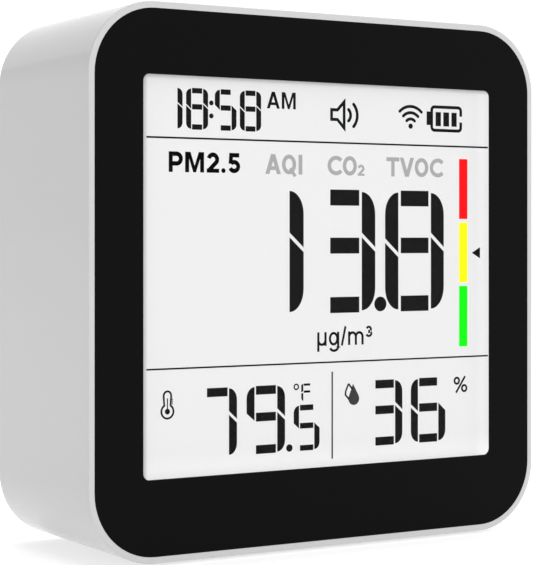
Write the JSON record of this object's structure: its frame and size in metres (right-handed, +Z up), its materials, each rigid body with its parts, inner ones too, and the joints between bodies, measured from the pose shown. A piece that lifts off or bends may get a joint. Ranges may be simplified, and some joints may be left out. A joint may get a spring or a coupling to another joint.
{
  "type": "air quality monitor",
  "caption": "Square free-standing air quality monitor with a segment display behind a black front panel, buttons on top and a vented rear cover over a particle sensor.",
  "frame": {"origin": "under the middle of the body, on the surface that it stands on", "axes": "+X right as seen from the front, -Y out of the front face, +Z up"},
  "size_m": [0.082, 0.032, 0.0829],
  "materials": {
    "white_plastic": "fine satin moulded plastic",
    "black_film": "printed black film",
    "clear_acrylic": "clear",
    "black_tape": "foam tape",
    "polariser": "light grey film",
    "display_glass": "clear",
    "light_guide": "frosted",
    "led": "moulded",
    "frame_plastic": "moulded",
    "zebra_rubber": "layered rubber",
    "circuit_board": "solder mask",
    "module_board": "solder mask",
    "chip": "moulded",
    "tin_plate": "pressed",
    "sensor_can": "pressed",
    "black_plastic": "moulded",
    "fan_plastic": "moulded",
    "button_plastic": "satin moulded plastic",
    "switch_plunger": "moulded",
    "foam_tape": "foam",
    "foam_gasket": "foam",
    "pouch_foil": "foil",
    "natural_nylon": "moulded",
    "lead_insulation": "insulated wire",
    "sensor_plastic": "moulded",
    "brass_body": "turned",
    "mesh_fabric": "fine woven mesh",
    "screw_steel": "zinc plated",
    "foot_rubber": "matt rubber",
    "label_paper": "printed film, blank"
  },
  "bodies": {
    "case": {"backlight_leds": "led", "battery_cell": "pouch_foil", "battery_leads": "lead_insulation", "battery_pad": "foam_tape", "battery_socket": "natural_nylon", "board_header": "black_plastic", "board_screws": "screw_steel", "buzzer": "black_plastic", "charger_chip": "chip", "climate_sensor": "sensor_can", "co2_sensor": "sensor_can", "contact_strips": "zebra_rubber", "cover_screws": "screw_steel", "display_driver": "chip", "fan_motor": "fan_plastic", "foot_strips": "foot_rubber", "front_lens": "clear_acrylic", "front_mask": "black_film", "gas_sensor": "sensor_can", "housing": "white_plastic", "laser_module": "brass_body", "lcd_frame": "frame_plastic", "lcd_front_glass": "display_glass", "lcd_front_polariser": "polariser", "lcd_rear_glass": "display_glass", "lcd_rear_polariser": "polariser", "lens_tape": "black_tape", "light_guide": "light_guide", "main_board": "circuit_board", "microcontroller": "chip", "photodiode": "chip", "power_board": "circuit_board", "rating_label": "label_paper", "rear_cover": "white_plastic", "sensor_base": "sensor_plastic", "sensor_board": "circuit_board", "sensor_gasket": "foam_gasket", "sensor_header": "black_plastic", "sensor_lid": "sensor_plastic", "tact_switches": "black_plastic", "usb_c_shell": "tin_plate", "usb_c_tongue": "black_plastic", "vent_mesh": "mesh_fabric", "wireless_module": "module_board", "wireless_shield": "tin_plate"},
    "fan": {"fan_rotor": "fan_plastic"},
    "button_mode": {"button_mode": "button_plastic", "plunger_mode": "switch_plunger"},
    "button_power": {"button_power": "button_plastic", "plunger_power": "switch_plunger"},
    "button_set": {"button_set": "button_plastic", "plunger_set": "switch_plunger"}
  },
  "joints": [
    {"name": "fan_spin", "type": "hinge", "parent": "case", "child": "fan", "pos_m": [0.01649, 0.0026, 0.03445], "axis": [0, 1, 0], "continuous": true},
    {"name": "button_mode_press", "type": "slide", "parent": "case", "child": "button_mode", "axis": [0, 0, -1], "range_m": [0, 0.0004], "stiffness_N_per_m": 400, "springref_m": -0.001},
    {"name": "button_power_press", "type": "slide", "parent": "case", "child": "button_power", "axis": [0, 0, -1], "range_m": [0, 0.0004], "stiffness_N_per_m": 400, "springref_m": -0.001},
    {"name": "button_set_press", "type": "slide", "parent": "case", "child": "button_set", "axis": [0, 0, -1], "range_m": [0, 0.0004], "stiffness_N_per_m": 400, "springref_m": -0.001}
  ]
}
